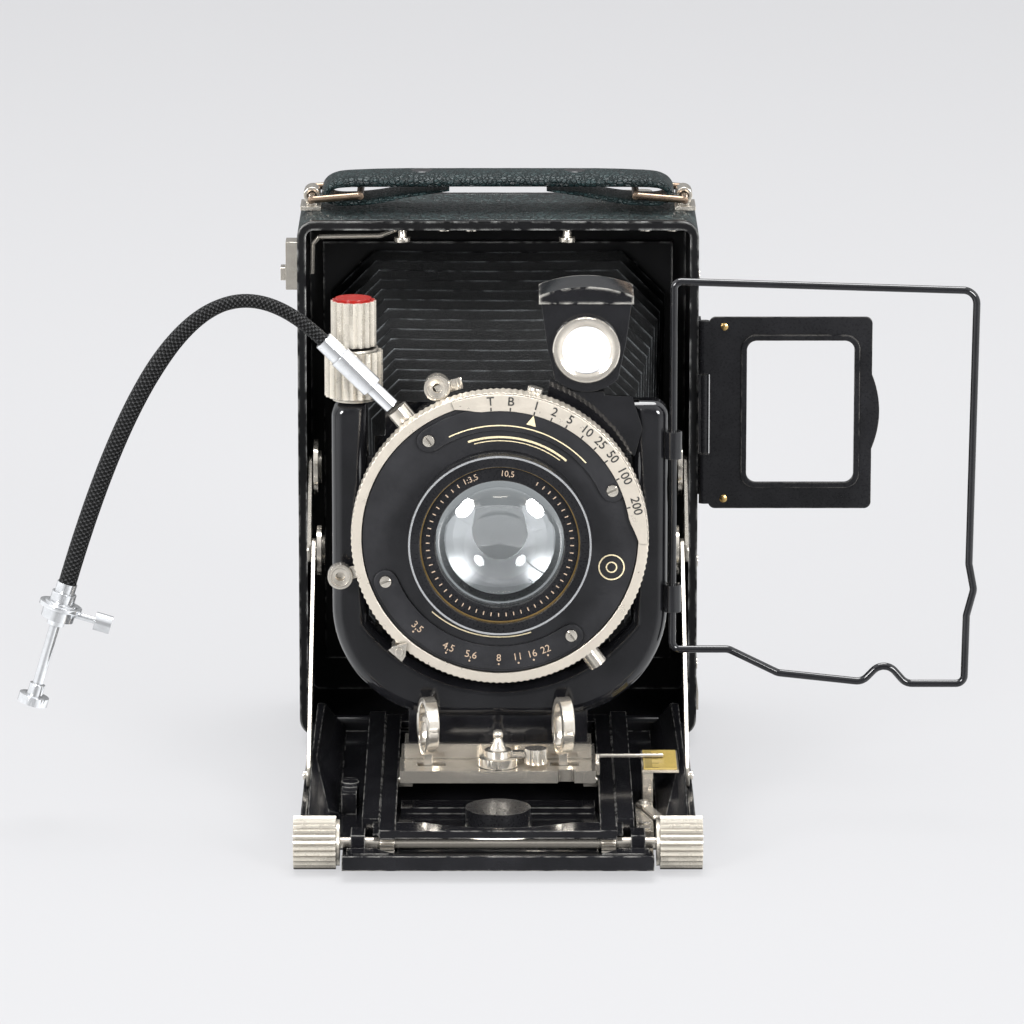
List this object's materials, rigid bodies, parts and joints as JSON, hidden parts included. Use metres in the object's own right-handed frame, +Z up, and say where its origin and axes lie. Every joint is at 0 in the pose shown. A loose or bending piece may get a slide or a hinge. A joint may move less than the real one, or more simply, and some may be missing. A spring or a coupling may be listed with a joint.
{
  "type": "folding plate camera",
  "caption": "Opened folding plate camera with a drop bed, rack-focused U standard, leather bellows, leaf shutter, folding finders, cable release and carrying strap.",
  "frame": {"origin": "mouth of the tripod socket in the underside of the opened bed", "axes": "+X to the right seen from the lens side, -Y towards the subject, +Z up"},
  "size_m": [0.2085, 0.1625, 0.1294],
  "materials": {
    "enamel": "gloss black enamel",
    "leather": "fine grain, dark green",
    "bellows_leather": "black, matt",
    "nickel": "warm satin nickel",
    "brass": "worn",
    "glass": "polished",
    "braid": "braided cotton",
    "steel": "blued"
  },
  "bodies": {
    "case": {"case_shell": "enamel", "leather_covers": "leather", "bed_plate": "enamel", "tripod_bush": "nickel", "struts": "enamel", "pivot_pins": "nickel", "track_guides": "enamel", "scale_and_stop": "nickel", "mask_hinge": "enamel", "bellows": "bellows_leather", "bellows_frame": "enamel", "handle_strap": "leather", "strap_links": "brass", "strap_lugs": "nickel", "strap_rivets": "brass", "case_screws": "nickel", "latch_spring": "nickel", "back_rails": "enamel"},
    "track": {"track": "enamel"},
    "focus_drive": {"focus_shaft": "nickel", "focus_knobs": "nickel"},
    "carriage": {"carriage_base": "enamel", "focus_pointer": "nickel"},
    "left_grip": {"grip_left": "nickel"},
    "right_grip": {"grip_right": "nickel"},
    "lock": {"shift_lock": "nickel"},
    "standard": {"u_frame": "enamel"},
    "rise_drive": {"rise_knob": "nickel"},
    "clamp": {"clamp_knob": "enamel"},
    "lens_panel": {"lens_board": "enamel", "shutter_case": "enamel", "face_plate": "enamel", "scale_plates": "enamel", "plate_screws": "nickel", "lens_cells": "nickel", "lens_ring": "nickel", "lens_glasses": "glass", "shutter_and_iris_leaves": "steel", "shutter_fittings": "nickel", "release_cable": "braid", "cable_ends": "nickel", "finder_bracket": "enamel"},
    "speed_dial": {"speed_ring": "nickel"},
    "cocking": {"cocking_lever": "nickel"},
    "release": {"release_lever": "nickel"},
    "aperture": {"aperture_pointer": "nickel"},
    "plunger_rod": {"plunger": "nickel"},
    "cable_lock": {"lock_screw": "nickel"},
    "finder": {"finder_body": "enamel", "finder_lenses": "glass"},
    "hood": {"finder_hood": "enamel"},
    "wire_frame": {"wire_finder": "enamel"},
    "mask": {"side_mask": "enamel"},
    "back": {"focusing_back": "enamel", "ground_glass": "glass"},
    "cover": {"back_cover": "leather"},
    "catch": {"back_catch": "nickel"},
    "bed_button": {"bed_catch": "nickel"},
    "stop": {"stop_lever": "nickel"}
  },
  "joints": [
    {"name": "track_slide", "type": "slide", "parent": "case", "child": "track", "axis": [0, -1, 0], "range_m": [0, 0.055], "deforming": ["bellows"]},
    {"name": "focus_spin", "type": "hinge", "parent": "case", "child": "focus_drive", "pos_m": [0, -0.02, 0.0034], "axis": [1, 0, 0], "continuous": true},
    {"name": "standard_slide", "type": "slide", "parent": "track", "child": "carriage", "axis": [0, -1, 0], "range_m": [-0.03, 0.035], "deforming": ["bellows"]},
    {"name": "grip_left_squeeze", "type": "slide", "parent": "carriage", "child": "left_grip", "axis": [1, 0, 0], "range_m": [0, 0.0015]},
    {"name": "grip_right_squeeze", "type": "slide", "parent": "carriage", "child": "right_grip", "axis": [-1, 0, 0], "range_m": [0, 0.0015]},
    {"name": "shift_lock_turn", "type": "hinge", "parent": "carriage", "child": "lock", "pos_m": [0, 0.0195, 0.01], "axis": [0, 0, 1], "range_deg": [-40, 0]},
    {"name": "cross_shift", "type": "slide", "parent": "carriage", "child": "standard", "axis": [1, 0, 0], "range_m": [-0.0035, 0.0035], "deforming": ["bellows"]},
    {"name": "lens_rise", "type": "slide", "parent": "standard", "child": "lens_panel", "axis": [0, 0, 1], "range_m": [-0.002, 0.008], "deforming": ["bellows"]},
    {"name": "rise_turn", "type": "hinge", "parent": "standard", "child": "rise_drive", "pos_m": [-0.0312, 0.0286, 0.095], "axis": [0, 0, 1], "continuous": true},
    {"name": "clamp_turn", "type": "hinge", "parent": "standard", "child": "clamp", "pos_m": [-0.0312, 0.0286, 0.105], "axis": [0, 0, 1], "range_deg": [0, 180]},
    {"name": "speed_turn", "type": "hinge", "parent": "lens_panel", "child": "speed_dial", "pos_m": [0.0004, 0.015, 0.0621], "axis": [0, -1, 0], "range_deg": [-110, 60]},
    {"name": "cocking_turn", "type": "hinge", "parent": "lens_panel", "child": "cocking", "pos_m": [0.0004, 0.021, 0.0621], "axis": [0, -1, 0], "range_deg": [-20, 0]},
    {"name": "release_turn", "type": "hinge", "parent": "lens_panel", "child": "release", "pos_m": [0.0004, 0.021, 0.0621], "axis": [0, -1, 0], "range_deg": [0, 12]},
    {"name": "aperture_turn", "type": "hinge", "parent": "lens_panel", "child": "aperture", "pos_m": [0.0004, 0.021, 0.0621], "axis": [0, -1, 0], "range_deg": [0, 66]},
    {"name": "plunger_push", "type": "slide", "parent": "lens_panel", "child": "plunger_rod", "axis": [0.288, 0, 0.9576], "range_m": [0, 0.0055]},
    {"name": "cable_lock_turn", "type": "hinge", "parent": "lens_panel", "child": "cable_lock", "pos_m": [-0.09497, 0.0193, 0.04478], "axis": [0.9576, 0, -0.288], "range_deg": [0, 180]},
    {"name": "finder_turn", "type": "hinge", "parent": "lens_panel", "child": "finder", "pos_m": [0.019, 0.03, 0.102], "axis": [0, 1, 0], "range_deg": [0, 90]},
    {"name": "hood_fold", "type": "hinge", "parent": "finder", "child": "hood", "pos_m": [0.019, 0.0357, 0.112], "axis": [1, 0, 0], "range_deg": [-80, 0]},
    {"name": "wire_frame_swing", "type": "hinge", "parent": "standard", "child": "wire_frame", "pos_m": [0.0379, 0.026, 0.07], "axis": [0, 0, 1], "range_deg": [-105, 0]},
    {"name": "mask_fold", "type": "hinge", "parent": "case", "child": "mask", "pos_m": [0.0463, 0.0838, 0.075], "axis": [0, 0, 1], "range_deg": [0, 90]},
    {"name": "back_slide", "type": "slide", "parent": "case", "child": "back", "axis": [0, 0, 1], "range_m": [0, 0.1]},
    {"name": "cover_open", "type": "hinge", "parent": "back", "child": "cover", "pos_m": [0, 0.1311, 0.0086], "axis": [1, 0, 0], "range_deg": [-100, 0]},
    {"name": "back_catch_turn", "type": "hinge", "parent": "case", "child": "catch", "pos_m": [0.033, 0.1186, 0.1185], "axis": [0, 0, 1], "range_deg": [-90, 0]},
    {"name": "bed_button_press", "type": "slide", "parent": "case", "child": "bed_button", "axis": [0, 0, -1], "range_m": [0, 0.0025]},
    {"name": "stop_turn", "type": "hinge", "parent": "case", "child": "stop", "pos_m": [0.0314, 0.0055, 0.005], "axis": [0, 0, 1], "range_deg": [-14, 0]}
  ],
  "couplings": [
    {"joint": "focus_spin", "follows": "track_slide", "rad_per_m": 500},
    {"joint": "grip_right_squeeze", "follows": "grip_left_squeeze", "ratio": 1},
    {"joint": "rise_turn", "follows": "lens_rise", "rad_per_m": 1570.8}
  ]
}
